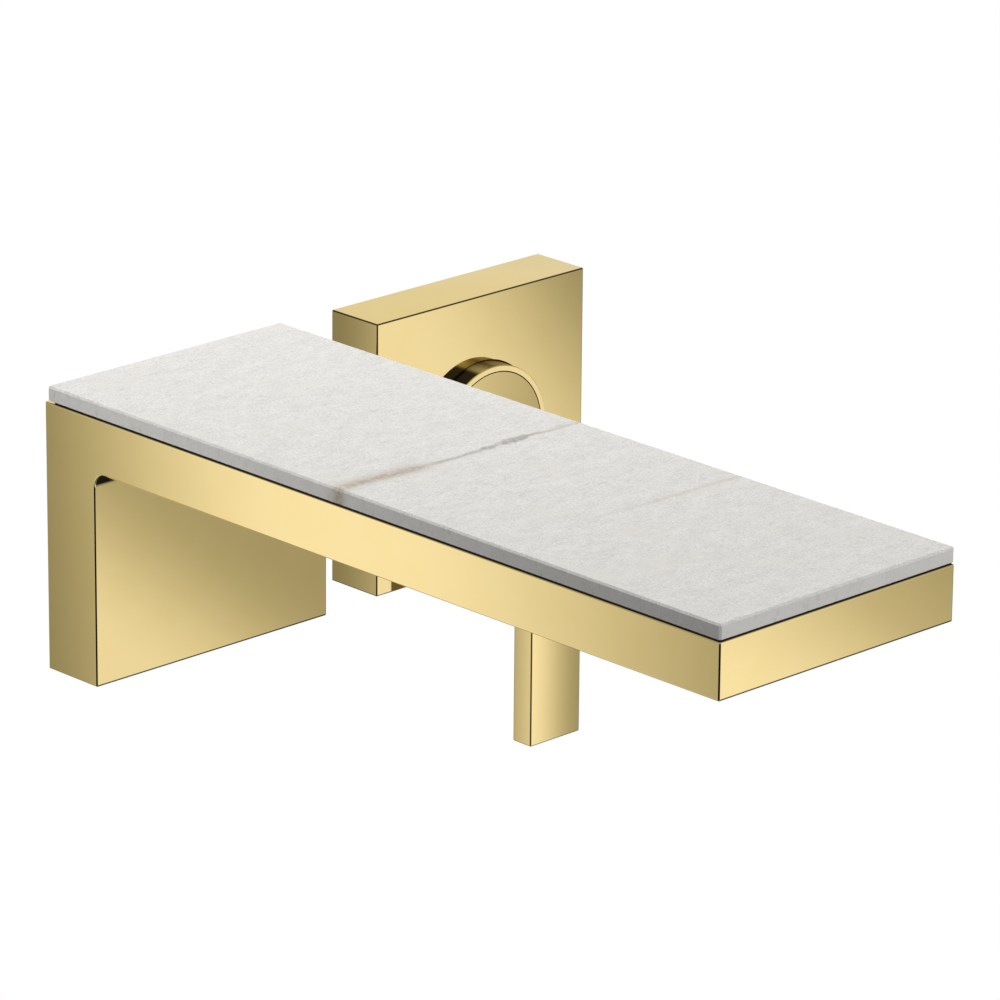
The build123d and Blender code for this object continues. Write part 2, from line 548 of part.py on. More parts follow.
def handle_plate():
    plate = handle_block(handle_half, -HANDLE_PLATE_DEPTH, 0, -handle_half, handle_half)
    plate = fillet(edges_in_front_of(plate, 0), EDGE_ROUND)
    inner_face = -HANDLE_PLATE_DEPTH + HANDLE_PLATE_WALL
    plate -= handle_block(handle_inside, inner_face, 0, -handle_inside, handle_inside)
    plate -= handle_rod(sleeve_hole_r, -HANDLE_PLATE_DEPTH, 0)
    hole_rim = plate.edges().filter_by(GeomType.CIRCLE).sort_by(Axis.Y)[0]
    return fillet(hole_rim, EDGE_ROUND)


def handle_plate_carrier():
    half = handle_inside - SLIP_FIT
    inside = half - SEAL_WIDTH
    front = -HANDLE_PLATE_DEPTH + HANDLE_PLATE_WALL + SLIP_FIT
    frame = handle_block(half, front, -SEAL_THICKNESS, -half, half)
    frame -= handle_block(inside, front + CARRIER_FRAME_WALL, -SEAL_THICKNESS, -inside, inside)
    frame += handle_rod(sleeve_r + GRIP_COLLAR_WALL, front, -GRIP_COLLAR_BACK)
    frame -= handle_rod(sleeve_hole_r, front, 0)
    groove_low, groove_high = -GRIP_RING_DEPTH - GRIP_RING_R, -GRIP_RING_DEPTH + GRIP_RING_R
    return frame - handle_rod(sleeve_r + 2 * GRIP_RING_R, groove_low, groove_high)


def plate_grip_ring():
    return ring_y(HANDLE_X, 0, -GRIP_RING_DEPTH, sleeve_r + GRIP_RING_R, GRIP_RING_R - O_RING_PINCH)


def handle_wall_seal():
    half = handle_inside - SLIP_FIT
    return wall_seal(HANDLE_X - half, HANDLE_X + half, -half, half)


def handle_sleeve():
    sleeve = handle_rod(sleeve_r, -HUB_FACE, BODY_SHOULDER)
    front_rim = sleeve.edges().sort_by(Axis.Y)[0]
    sleeve = chamfer(front_rim, EDGE_ROUND / 2)
    sleeve -= hub_ball(hub_space_r)
    return sleeve - handle_rod(hub_space_r, pivot_y, BODY_SHOULDER)


def lever_hub():
    rear_rim = pivot_y + HUB_SKIRT
    hub = hub_ball(hub_r) & handle_rod(hub_r, -HUB_FACE, rear_rim)
    hub -= hub_ball(hub_r - HUB_WALL) & handle_rod(hub_r, hub_inner_face, rear_rim)
    hub -= handle_rod(STEM_THREAD_R + SLIP_FIT, -HUB_FACE, hub_inner_face)
    half_w = LEVER_WIDTH / 2 - TENON_SIDE + SLIP_FIT
    half_h = LEVER_THICKNESS / 2 - TENON_EDGE + SLIP_FIT
    hub -= handle_block(half_w, -HUB_FACE, -HUB_FACE + TENON_DEPTH + SLIP_FIT, -half_h, half_h)
    return hub - rod_x(pivot_y, 0, TRUNNION_R, HANDLE_X - hub_r, HANDLE_X + hub_r)


def lever_bar():
    half_w, half_t = LEVER_WIDTH / 2, LEVER_THICKNESS / 2
    front = -LEVER_STAND_OFF - LEVER_THICKNESS
    bar = handle_block(half_w, front, -HUB_FACE, -half_t, half_t)
    bar += handle_block(half_w, front, -LEVER_STAND_OFF, -LEVER_DROP, half_t)
    bar = fillet(edges_in_front_of(bar, -HUB_FACE), EDGE_ROUND)
    tenon_half_w, tenon_half_h = half_w - TENON_SIDE, half_t - TENON_EDGE
    bar += handle_block(tenon_half_w, -HUB_FACE - JOIN, -HUB_FACE + TENON_DEPTH, -tenon_half_h, tenon_half_h)
    hole_end = hub_inner_face - STEM_THREAD_LENGTH - LOOSE_FIT
    return bar - handle_rod(STEM_THREAD_R + THREAD_FIT, hole_end, 0)


def drive_stem():
    neck = stem_end_y - STEM_END_R
    stem = handle_rod(STEM_R, hub_inner_face, neck)
    stem += handle_rod(STEM_THREAD_R, hub_inner_face - STEM_THREAD_LENGTH, hub_inner_face)
    stem += handle_rod(STEM_NECK_R, neck, stem_end_y)
    return stem + Pos(HANDLE_X, stem_end_y, 0) * Sphere(STEM_END_R)


def trunnion_pins():
    """Short pins pressed into the hub's wall, which turn in the guide's ears."""
    reach = hub_r - TRUNNION_RECESS
    return group(rod_x(pivot_y, 0, TRUNNION_R, HANDLE_X + side * ear_inner, HANDLE_X + side * reach)
                 for side in (-1, 1))


# Cartridge


def cartridge_guide():
    guide = handle_rod(guide_r, GUIDE_FRONT, GUIDE_BACK)
    guide += handle_rod(guide_flange_r, GUIDE_FLANGE_FRONT, GUIDE_BACK)
    for side in (-1, 1):
        x0, x1 = HANDLE_X + side * ear_inner, HANDLE_X + side * ear_outer
        guide += block(x0, x1, pivot_y, GUIDE_FRONT + JOIN, -EAR_R, EAR_R)
        guide += rod_x(pivot_y, 0, EAR_R, x0, x1)
        guide -= rod_x(pivot_y, 0, TRUNNION_R + RUNNING_FIT, x0, x1)
        rail = HANDLE_X + side * (SLIDE_HALF_WIDTH + RUNNING_FIT)
        guide += block(rail, rail + side * SLIDE_RAIL_WIDTH, GUIDE_BACK - JOIN, moving_front - LOOSE_FIT,
                       -SLIDE_RAIL_HALF_LENGTH, SLIDE_RAIL_HALF_LENGTH)
    slot_high = STEM_R + STEM_SLOT_MARGIN
    return guide - handle_block(STEM_R + LOOSE_FIT, GUIDE_FRONT, GUIDE_BACK, -stroke - slot_high, slot_high)


def disc_carrier():
    half_h = DISC_CARRIER_HEIGHT / 2
    socket_half_z = STEM_END_R + LOOSE_FIT
    plate = handle_block(SLIDE_HALF_WIDTH, slide_front, moving_front, slide_z - half_h, slide_z + half_h)
    plate -= handle_block(STEM_END_R + SLIP_FIT, slide_front, moving_front - DISC_CARRIER_FLOOR,
                          -socket_half_z, socket_half_z)
    for x in pegs_x:
        plate += rod_y(x, slide_z, DISC_PEG_R, moving_front - JOIN, moving_front + DISC_PEG_LENGTH)
    return plate


def moving_disc():
    half_h = MIXING_HEIGHT / 2
    disc = rod_y(HANDLE_X, slide_z, MOVING_DISC_R, moving_front, fixed_front)
    disc -= handle_block(MIXING_WIDTH / 2, fixed_front - MIXING_DEPTH, fixed_front,
                         slide_z - half_h, slide_z + half_h)
    peg_hole_end = moving_front + DISC_PEG_LENGTH + SLIP_FIT
    for x in pegs_x:
        disc -= rod_y(x, slide_z, DISC_PEG_R + RUNNING_FIT, moving_front, peg_hole_end)
    return disc


def port_holes(r, y0, y1):
    """The cartridge's three water ports."""
    return [rod_y(x, z, r, y0, y1) for x, z in ports]


def port_rings(y0):
    """Three rubber rings round the ports."""
    outer = port_holes(PORT_R + PORT_SEAL_WALL, y0, y0 + PORT_SEAL_HEIGHT)
    inner = port_holes(PORT_R, y0, y0 + PORT_SEAL_HEIGHT)
    return group(ring - hole for ring, hole in zip(outer, inner))


def fixed_disc():
    back = fixed_front + FIXED_DISC_THICKNESS
    return handle_rod(fixed_disc_r, fixed_front, back) - port_holes(PORT_R, fixed_front, back)


def disc_seals():
    return port_rings(base_front - DISC_SLACK)


def base_seals():
    return port_rings(pocket_back - PORT_SEAL_HEIGHT)


def cartridge_base():
    base = handle_rod(housing_r, base_front, base_back)
    base -= port_holes(PORT_R, base_front, base_back)
    base -= port_holes(seal_seat_r, base_front, base_front + PORT_SEAL_HEIGHT - DISC_SLACK)
    return base - port_holes(seal_seat_r, pocket_back - PORT_SEAL_HEIGHT, base_back)


def cartridge_housing():
    tube = handle_rod(housing_r, HOUSING_FRONT, base_front)
    tube -= handle_rod(guide_r + RUNNING_FIT, HOUSING_FRONT, HOUSING_LIP_BACK)
    return tube - handle_rod(housing_bore_r, HOUSING_LIP_BACK, base_front)


def cartridge_nut():
    nut = handle_rod(pocket_r - THREAD_FIT, NUT_FRONT, HOUSING_FRONT)
    return nut - handle_rod(guide_r + NUT_GAP, NUT_FRONT, HOUSING_FRONT)


# Valve body behind the wall


def wall_elbow():
    """Turns the water from the outlet pipe into the spout's nipple and takes the spout's bracket screws."""
    duct_end = -DUCT_BORE_R - DUCT_END_WALL
    elbow = rod_y(0, 0, NIPPLE_R + SPOUT_BOSS_WALL, BODY_SHOULDER, duct_depth - SPOUT_BOSS_STEP)
    elbow += rod_x(duct_depth, DUCT_Z, DUCT_R, duct_end, SPOUT_CUP_X - JOIN)
    elbow += rod_x(duct_depth, DUCT_Z, cup_r, SPOUT_CUP_X - CUP_LENGTH, SPOUT_CUP_X)
    for x in bracket_screws_x:
        elbow += rod_y(x, 0, LUG_R, BODY_SHOULDER, LUG_BACK)
        elbow += block(0, x, BODY_SHOULDER, LUG_BACK, -LUG_WEB / 2, LUG_WEB / 2)
    elbow -= rod_x(duct_depth, DUCT_Z, DUCT_BORE_R, duct_end + DUCT_END_WALL, SPOUT_CUP_X)
    elbow -= rod_x(duct_depth, DUCT_Z, pipe_socket_r, SPOUT_CUP_X - CUP_DEPTH, SPOUT_CUP_X)
    elbow -= rod_y(0, 0, NIPPLE_R, BODY_SHOULDER, NIPPLE_INTO_WALL + LOOSE_FIT)
    elbow -= rod_y(0, 0, nipple_bore_r, BODY_SHOULDER, duct_depth)
    for x in bracket_screws_x:
        elbow -= rod_y(x, 0, BRACKET_SCREW_R + THREAD_FIT, BODY_SHOULDER, LUG_BACK)
    return elbow


def outlet_pipe():
    """Pushed into a cup at either end and soldered."""
    left, right = SPOUT_CUP_X - CUP_DEPTH, body_cup_mouth + CUP_DEPTH
    pipe = rod_x(duct_depth, DUCT_Z, DUCT_R, left, right)
    return pipe - rod_x(duct_depth, DUCT_Z, DUCT_BORE_R, left, right)


def valve_body():
    foot_low, foot_high = rail_z - RAIL_FOOT_HEIGHT / 2, rail_z + RAIL_FOOT_HEIGHT / 2
    body = handle_rod(body_r, BODY_SHOULDER, body_back)
    rear_rim = body.edges().sort_by(Axis.Y)[-1]
    body = chamfer(rear_rim, BODY_BACK_CHAMFER)
    body += handle_rod(neck_r, NUT_FRONT, BODY_SHOULDER + JOIN)
    body += rod_x(duct_depth, DUCT_Z, DUCT_R, body_cup_mouth + JOIN, duct_plug_end)
    body += rod_x(duct_depth, DUCT_Z, cup_r, body_cup_mouth, body_cup_mouth + CUP_LENGTH)
    for x in inlets_x:
        half = RAIL_FOOT_WIDTH / 2
        body += rod_z(x, inlet_depth, INLET_BOSS_R, -INLET_DROP, 0)
        body += block(x - half, x + half, inlet_depth, rail_face, foot_low, foot_high)
    body -= handle_rod(pocket_r, NUT_FRONT, pocket_back)
    for x in inlet_ports_x:
        body -= rod_y(x, inlet_port_z, PORT_R, pocket_back, inlet_depth)
    body -= rod_y(HANDLE_X, OUTLET_PORT_Z, PORT_R, pocket_back, duct_depth)
    body -= rod_x(duct_depth, DUCT_Z, DUCT_BORE_R, body_cup_mouth, HANDLE_X + body_r)
    body -= rod_x(duct_depth, DUCT_Z, pipe_socket_r, body_cup_mouth, body_cup_mouth + CUP_DEPTH)
    for x in inlets_x:
        body -= rod_z(x, inlet_depth, INLET_THREAD_R, -INLET_DROP, thread_top)
        body -= rod_z(x, inlet_depth, INLET_BORE_R, thread_top, inlet_bore_top)
        body -= rod_y(x, rail_z, RAIL_SCREW_R + THREAD_FIT, rail_screw_hole_end, rail_face)
    return body


def check_valves():
    valves = []
    bottom = thread_top + FILTER_THICKNESS
    for x in inlets_x:
        valve = rod_z(x, inlet_depth, INLET_BORE_R - SLIP_FIT, bottom, check_valve_top)
        valves.append(valve - rod_z(x, inlet_depth, CHECK_VALVE_BORE_R, bottom, check_valve_top))
    return group(valves)


def inlet_filters():
    filters = []
    top = thread_top + FILTER_THICKNESS
    filter_r = INLET_BORE_R - SLIP_FIT
    for x in inlets_x:
        holes = hole_grid(x, inlet_depth, FILTER_HOLE_R, FILTER_PITCH, filter_r, thread_top, top)
        filters.append(rod_z(x, inlet_depth, filter_r, thread_top, top) - holes)
    return group(filters)


def duct_plug():
    plug = rod_x(duct_depth, DUCT_Z, DUCT_BORE_R - THREAD_FIT, duct_plug_end - PLUG_LENGTH, duct_plug_end)
    key = hex_socket(DUCT_BORE_R / 2, PLUG_LENGTH / 2)
    return plug - Pos(duct_plug_end, duct_depth, DUCT_Z) * Rot(0, -90, 0) * key


def mounting_rail():
    half_l, half_h = RAIL_LENGTH / 2, RAIL_HEIGHT / 2
    rail = block(rail_centre_x - half_l, rail_centre_x + half_l, rail_face, rail_back,
                 rail_z - half_h, rail_z + half_h)
    rail = fillet(rail.edges().filter_by(Axis.Y), RAIL_THICKNESS)
    for x, z in rail_holes:
        rail -= rod_y(x, z, RAIL_HOLE_R, rail_face, rail_back)
    for x in inlets_x:
        rail -= rod_y(x, rail_z, RAIL_SCREW_R + SLIP_FIT, rail_face, rail_back)
        rail -= rod_y(x, rail_z, RAIL_HEAD_R + SLIP_FIT, rail_back - RAIL_HEAD_HEIGHT, rail_back)
    return rail


def rail_screws():
    screws = []
    seat = rail_back - RAIL_HEAD_HEIGHT
    tip = rail_screw_hole_end + RAIL_SCREW_GAP
    for x in inlets_x:
        screw = rod_y(x, rail_z, RAIL_HEAD_R, seat, rail_back - SLIP_FIT)
        screws.append(screw + rod_y(x, rail_z, RAIL_SCREW_R, tip, seat))
    return group(screws)


pieces = [
    spout_body, stone_plate, plate_carrier, stone_bond_pads, carrier_screws, spout_elbow, water_channel,
    channel_o_rings, outlet_holder, outlet_gasket, outlet_housing, flow_straightener, flow_limiter,
    filter_screen, spout_nipple, nipple_o_rings, spout_wall_bracket, bracket_screws, spout_grub_screw,
    spout_wall_seal,
    handle_plate, handle_plate_carrier, plate_grip_ring, handle_wall_seal, handle_sleeve,
    lever_hub, lever_bar, drive_stem, trunnion_pins,
    cartridge_guide, disc_carrier, moving_disc, fixed_disc, disc_seals, cartridge_base, base_seals,
    cartridge_housing, cartridge_nut,
    wall_elbow, outlet_pipe, valve_body, check_valves, inlet_filters, duct_plug, mounting_rail, rail_screws,
]

os.makedirs("parts", exist_ok=True)
for piece in pieces:
    export_step(piece(), f"parts/{piece.__name__}.step")
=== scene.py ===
"""The looks of a wall-mounted mixer: a gold spout with a marble top, and a gold lever on a square plate.

Everything is in metres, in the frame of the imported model: +Z up, the finished wall at y = 0, the room at -Y.
"""
import json
import math

import bpy
from mathutils import Matrix, Vector


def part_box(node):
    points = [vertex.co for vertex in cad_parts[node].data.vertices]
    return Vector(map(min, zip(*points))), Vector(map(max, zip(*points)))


MM = 0.001
X, Y, Z = range(3)

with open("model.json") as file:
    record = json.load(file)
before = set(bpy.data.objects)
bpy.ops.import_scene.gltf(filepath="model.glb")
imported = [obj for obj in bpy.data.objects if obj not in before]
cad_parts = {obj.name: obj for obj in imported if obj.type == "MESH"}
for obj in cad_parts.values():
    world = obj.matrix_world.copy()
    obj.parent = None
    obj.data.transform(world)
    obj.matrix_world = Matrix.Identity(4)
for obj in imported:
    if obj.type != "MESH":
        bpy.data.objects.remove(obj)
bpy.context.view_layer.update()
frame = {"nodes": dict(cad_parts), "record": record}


class Value:
    """A shader socket that takes part in plain arithmetic, which adds Math nodes to its tree."""

    def __init__(self, shader, socket):
        self.shader = shader
        self.socket = socket

    def math(self, operation, *others):
        return self.shader.node("Math", {"operation": operation}, dict(enumerate((self, *others))))

    def after(self, operation, first):
        return self.shader.node("Math", {"operation": operation}, {0: first, 1: self})

    def __add__(self, other):
        return self.math("ADD", other)

    def __sub__(self, other):
        return self.math("SUBTRACT", other)

    def __mul__(self, other):
        return self.math("MULTIPLY", other)

    def __truediv__(self, other):
        return self.math("DIVIDE", other)

    def __pow__(self, other):
        return self.math("POWER", other)

    def __radd__(self, other):
        return self.after("ADD", other)

    def __rsub__(self, other):
        return self.after("SUBTRACT", other)

    def __rmul__(self, other):
        return self.after("MULTIPLY", other)

    def __rtruediv__(self, other):
        return self.after("DIVIDE", other)

    def __neg__(self):
        return self * -1

    def __abs__(self):
        return self.math("ABSOLUTE")

    def most(self, other):
        return self.math("MAXIMUM", other)

    def least(self, other):
        return self.math("MINIMUM", other)

    def rise(self, low, high):
        """0 up to low, 1 from high on, and a smooth slope between. It falls where low is above high."""
        limits = {"Value": self, "From Min": low, "From Max": high}
        return self.shader.node("MapRange", {"interpolation_type": "SMOOTHSTEP"}, limits)

    def within(self, low, inner_low, inner_high, high):
        """1 between the inner limits, with a smooth fall to 0 at the outer ones."""
        return self.rise(low, inner_low) * self.rise(high, inner_high)


class Shader:
    """A tree of shader nodes, with short names for the nodes that the finishes share."""

    def __init__(self, tree):
        tree.nodes.clear()
        self.tree = tree

    def node(self, kind, settings=None, sockets=None, output=0):
        made = self.tree.nodes.new("ShaderNode" + kind)
        for name, setting in (settings or {}).items():
            setattr(made, name, setting)
        for name, value in (sockets or {}).items():
            if isinstance(value, Value):
                self.tree.links.new(value.socket, made.inputs[name])
            else:
                made.inputs[name].default_value = value
        return Value(self, made.outputs[output]) if made.outputs else None

    def place(self):
        """Where a point lies in the part's frame, whatever the pose."""
        return self.node("TexCoord", output="Object")

    def along(self, axis):
        return self.part_of(self.place(), axis)

    def part_of(self, vector, axis):
        return self.node("SeparateXYZ", sockets={0: vector}, output=axis)

    def parts_of(self, vector):
        return [self.part_of(vector, axis) for axis in (X, Y, Z)]

    def vector(self, x, y, z):
        return self.node("CombineXYZ", sockets={X: x, Y: y, Z: z})

    def vector_math(self, operation, first, second=(0, 0, 0)):
        return self.node("VectorMath", {"operation": operation}, {0: first, 1: second})

    def stretched(self, x, y, z):
        """The place with each axis scaled, for grain that runs one way."""
        return self.vector_math("MULTIPLY", self.place(), (x, y, z))

    def noise(self, scale, detail=3.0, place=None, roughness=0.5):
        sockets = {"Vector": place or self.place(), "Scale": scale, "Detail": detail, "Roughness": roughness}
        return self.node("TexNoise", sockets=sockets)

    def cells(self, scale):
        return self.node("TexVoronoi", sockets={"Vector": self.place(), "Scale": scale})

    def mix(self, share, first, second):
        """From the first colour to the second. The numbers are a Mix node's sockets for colours."""
        sockets = {0: share, 6: first, 7: second}
        return self.node("Mix", {"data_type": "RGBA"}, sockets, output=2)

    def bump(self, height, depth, normal=None):
        sockets = {"Height": height, "Strength": 1.0, "Distance": depth}
        if normal:
            sockets["Normal"] = normal
        return self.node("Bump", sockets=sockets)

    def surface(self, **sockets):
        """A Principled shader, with its sockets' names in small letters and underlines."""
        named = {}
        for name, value in sockets.items():
            named[name.replace("_", " ").title().replace("Ior", "IOR")] = value
        return self.node("BsdfPrincipled", sockets=named)


def finish(name, make, *details):
    """A material whose surface the function makes."""
    material = bpy.data.materials.new(name)
    material.use_nodes = True
    shader = Shader(material.node_tree)
    shader.node("OutputMaterial", sockets={"Surface": make(shader, *details)})
    return material


# Polished gold. Each face is buffed to a faint crown, so that it takes up a whole sweep of the studio.

GOLD, WORN_GOLD = (0.965, 0.768, 0.376, 1), (0.955, 0.755, 0.362, 1)
GRAZING_GOLD = (1, 0.935, 0.72, 1)
BUFFING_DEPTH = 0.00015 * MM
SLAB_BOTTOM, SLAB_MIDDLE = 20.5 * MM, 28 * MM    # heights on the spout


def from_middle(shader, node, axis):
    """The distance from the middle of a piece's own box."""
    low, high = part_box(node)
    return shader.along(axis) - (low[axis] + high[axis]) / 2


def across(shader, node, axis):
    """From -1 to 1 across a piece's own box."""
    low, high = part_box(node)
    return from_middle(shader, node, axis) / ((high[axis] - low[axis]) / 2)


# The crowns: how far a piece's normals lean along X on its front, and along Y on its sides.

LEG_LEAN, LEG_LEAN_LOW = 0.108, -0.007             # over the whole sweep, and at its lower left end
LEG_SWEEP, LEG_SLANT = (-78 * MM, 2 * MM), 1.35    # its ends, and how much faster it rises upwards
TIP_LEAN, TIP_LEAN_MIDDLE, TIP_SLANT = 0.0017 / MM, -0.0295, 1.4
TIP_EASE, TIP_EASE_START = 0.0007 / MM, 18 * MM    # how much less it leans for each metre past this place
LEG_TO_TIP = -60 * MM, -70 * MM                    # where the leg's crown gives way to the tip's
SIDE_LEAN, SIDE_LEAN_AT_WALL, SIDE_LEAN_DOWN = 0.1, 0.009, 1.1e-4 / MM


def spout_crown(shader, node):
    """The long sides crown along the spout, the leg and the tip from lower left to upper right."""
    x, y, z = shader.parts_of(shader.place())
    above = z - SLAB_MIDDLE
    leg = LEG_LEAN * (x + z * LEG_SLANT).rise(*LEG_SWEEP) + LEG_LEAN_LOW
    slant = x + above * TIP_SLANT
    tip = slant * TIP_LEAN - (slant - TIP_EASE_START).most(0.0) * TIP_EASE + TIP_LEAN_MIDDLE
    at_tip = y.rise(*LEG_TO_TIP)
    to_wall = across(shader, node, Y)
    side = to_wall * SIDE_LEAN + to_wall.most(0.0) * SIDE_LEAN_AT_WALL - above * SIDE_LEAN_DOWN
    return leg + (tip - leg) * at_tip, side, 0.0


PLATE_SLANT, PLATE_SWEEP_START = 0.79, -1.25 * MM
PLATE_LEAN, PLATE_LEAN_GROWTH, PLATE_LEAN_LOW = 1.434e-4, 1.6, -0.039
PLATE_SIDE_LEAN, PLATE_SIDE_LEAN_MIDDLE = 0.018, 0.1385


def plate_crown(shader, node):
    """The front leans more and more towards its upper right corner, the sides a little with their depth."""
    sweep = from_middle(shader, node, X) + from_middle(shader, node, Z) * PLATE_SLANT - PLATE_SWEEP_START
    front = (sweep / MM).most(0.0) ** PLATE_LEAN_GROWTH * PLATE_LEAN + PLATE_LEAN_LOW
    return front, across(shader, node, Y) * PLATE_SIDE_LEAN + PLATE_SIDE_LEAN_MIDDLE, 0.0


LEVER_LEAN, LEVER_BULGE = 0.09, 0.009
LEVER_SIDE_LEAN, LEVER_SIDE_LEAN_FRONT, LEVER_SIDE_DEPTH = 0.0042 / MM, 0.0963, 8 * MM


def lever_crown(shader, node):
    """The front leans from side to side with a slight bulge, the sides with their depth."""
    width = across(shader, node, X)
    depth = shader.along(Y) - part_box(node)[0][Y]
    front = width * LEVER_LEAN + (1 - width * width) * LEVER_BULGE
    return front, depth.least(LEVER_SIDE_DEPTH) * LEVER_SIDE_LEAN + LEVER_SIDE_LEAN_FRONT, 0.0


HUB_LEAN, HUB_LEAN_MIDDLE = 0.032, 0.021
SLEEVE_LEAN = -0.04


def hub_crown(shader, node):
    return across(shader, node, X) * HUB_LEAN + HUB_LEAN_MIDDLE, 0.0, 0.0


def sleeve_crown(shader, node):
    return SLEEVE_LEAN, 0.0, 0.0


# Painted dark reflections and painted shade: how much of the gold they cover, and with which colour.

# the black of the painted dark reflections and painted shadows
DARK_LINE = (0.010, 0.008, 0.005, 1)
# the painted shade and the painted olive reflection on the sleeve's side
SHADED_GOLD, REFLECTED_OLIVE_GOLD = (0.425, 0.31, 0.098, 1), (0.61, 0.51, 0.17, 1)
LEVER_COVER, PLATE_COVER, DARK_FOOT_COVER, SLEEVE_COVER = 0.8, 0.9, 0.85, 0.97
EDGE_FLATNESS = 0.9985, 0.985    # how near an axis the normal lies on a face, and on a broken edge
LEANING = 0.02, 0.1              # a normal's part along an axis, from where it counts as leaning that way


def facing(shader):
    """The three parts of the normal in the part's frame."""
    return shader.parts_of(shader.node("TexCoord", output="Normal"))


def all_edge_lines(shader):
    """1 on a piece's broken edges and fillets, where a dark reflection is painted."""
    x, y, z = facing(shader)
    return abs(x).most(abs(y)).most(abs(z)).rise(*EDGE_FLATNESS)


def edge_lines(shader):
    """1 on those edges, but for the ones under a piece's two sides, which catch the light."""
    x, y, z = facing(shader)
    under_side = (-z).rise(*LEANING) * abs(x).rise(*LEANING)
    return all_edge_lines(shader) * (1 - under_side)


# Painted dark reflections on the lever's broken edges.
def lever_lines(shader, node):
    return edge_lines(shader) * LEVER_COVER, DARK_LINE


GLINT_RIGHT, GLINT_DOWN, GLINT_OUT = (0.12, 0.28), (0.2, 0.4), (0.35, 0.6)    # how the rim faces there


def plate_lines(shader, node):
    """Painted dark reflections on the broken edges, left out for a glint at the left of the rim round the
    sleeve.
    """
    x, y, z = facing(shader)
    glint = x.rise(*GLINT_RIGHT) * (-z).rise(*GLINT_DOWN) * (-y).rise(*GLINT_OUT)
    return all_edge_lines(shader) * (1 - glint) * PLATE_COVER, DARK_LINE


RIM_START, RIM_DEPTH = -3.2 * MM, 0.05 * MM    # where the painted shadow on the rim under the stone starts, and its depth
DARK_FOOT, SOFT_END = 0.6 * MM, 0.12 * MM            # the painted dark reflection line at the foot of the fronts, and its soft edge
NEAR_TIP = -200 * MM, -210 * MM                # past here a front face is the tip's
FACING_OUT = 0.9, 0.98                         # the normal's part towards the room on a front face
CORNER, CORNER_FADE = 4 * MM, 0.75             # the round corner between the slab and the leg, and how far its painted dark reflection fades
CORNER_GOLD = -31 * MM, -20 * MM, 40 * MM, 40.5 * MM    # where its painted dark reflection fades to gold, from left to right


def spout_lines(shader, node):
    """Painted dark reflections on the broken edges but for those at the top, a painted shadow on the rim under
    the stone, and painted dark reflection lines at the foot of the fronts.

    The round inner corner under the slab has a painted dark reflection at its left end, which fades to gold
    along the leg.
    """
    x, y, z = shader.parts_of(shader.place())
    corner_foot = SLAB_BOTTOM - CORNER
    in_corner = z.within(corner_foot, corner_foot + SOFT_END, SLAB_BOTTOM - SOFT_END, SLAB_BOTTOM)
    faded = in_corner * x.within(*CORNER_GOLD) * CORNER_FADE
    front, up = (-facing(shader)[Y]).rise(*FACING_OUT), facing(shader)[Z].rise(*LEANING)
    foot, top = (corner[Z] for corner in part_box(node))
    rim_shadow = z.rise(top - SOFT_END, top - RIM_DEPTH) * y.rise(RIM_START, RIM_START - DARK_FOOT)
    leg_dark_foot = z.rise(foot + DARK_FOOT, foot + DARK_FOOT - SOFT_END)
    tip_dark_foot = y.rise(*NEAR_TIP) * z.rise(SLAB_BOTTOM + DARK_FOOT, SLAB_BOTTOM + DARK_FOOT - SOFT_END)
    dark_foot = front * DARK_FOOT_COVER * leg_dark_foot.most(tip_dark_foot)
    return (edge_lines(shader) * (1 - up) * (1 - faded)).most(rim_shadow).most(dark_foot), DARK_LINE


SLEEVE_SIDE = 0.6, 0.2                     # the normal's part along Y on the front ring and on the round side
SLEEVE_BLACK = -0.24, -0.33                # its part along X where the side has painted black shade, at the left,
SLEEVE_OLIVE = -0.3, -0.24, -0.19, -0.1    # where it has a painted olive reflection, further up,
SLEEVE_DIP = -0.1, -0.03, 0.02, 0.08       # and where it is half covered with painted shade, at the top


def sleeve_shade(shader, node):
    """Painted shade and a painted olive reflection on the sleeve's round side, which stands in the shade of
    the spout and of the lever's arm.
    """
    x, y, z = facing(shader)
    outward = (x * from_middle(shader, node, X) + z * from_middle(shader, node, Z)).rise(0.0, 1 * MM)
    deep = x.rise(*SLEEVE_BLACK) + x.within(*SLEEVE_DIP) * 0.5
    tint = shader.mix(x.within(*SLEEVE_OLIVE), SHADED_GOLD, REFLECTED_OLIVE_GOLD)
    return abs(y).rise(*SLEEVE_SIDE) * outward * SLEEVE_COVER, shader.mix(deep, tint, DARK_LINE)


def polished_gold(shader, node, crown, shade):
    """Gold whose normals lean with the crown, and which takes on the tint of its painted shade and painted
    dark reflections where it has them.
    """
    tilt = shader.vector(*crown(shader, node))
    turn = {"vector_type": "VECTOR", "convert_from": "OBJECT", "convert_to": "WORLD"}
    tilt = shader.node("VectorTransform", turn, {0: tilt})
    normal = shader.node("NewGeometry", output="Normal")
    tilt = shader.vector_math("SUBTRACT", tilt, shader.vector_math("PROJECT", tilt, normal))
    normal = shader.vector_math("NORMALIZE", shader.vector_math("ADD", normal, tilt))
    haze = shader.noise(90.0, detail=2.0)
    polish = shader.noise(900.0, detail=4.0, place=shader.stretched(1.0, 0.12, 1.0))
    gold = shader.surface(
        base_color=shader.mix(haze.rise(0.35, 0.7), GOLD, WORN_GOLD), metallic=1.0,
        roughness=haze * 0.03 + polish * 0.02 + 0.01, specular_tint=GRAZING_GOLD,
        normal=shader.bump(polish, BUFFING_DEPTH, normal))
    if not shade:
        return gold
    share, tint = shade(shader, node)
    dark = shader.surface(base_color=tint, roughness=0.5, specular_ior_level=0.1)
    return shader.node("MixShader", sockets={0: share, 1: gold, 2: dark})


# White marble, honed, with one brown vein across it and a faint one nearer the tip.

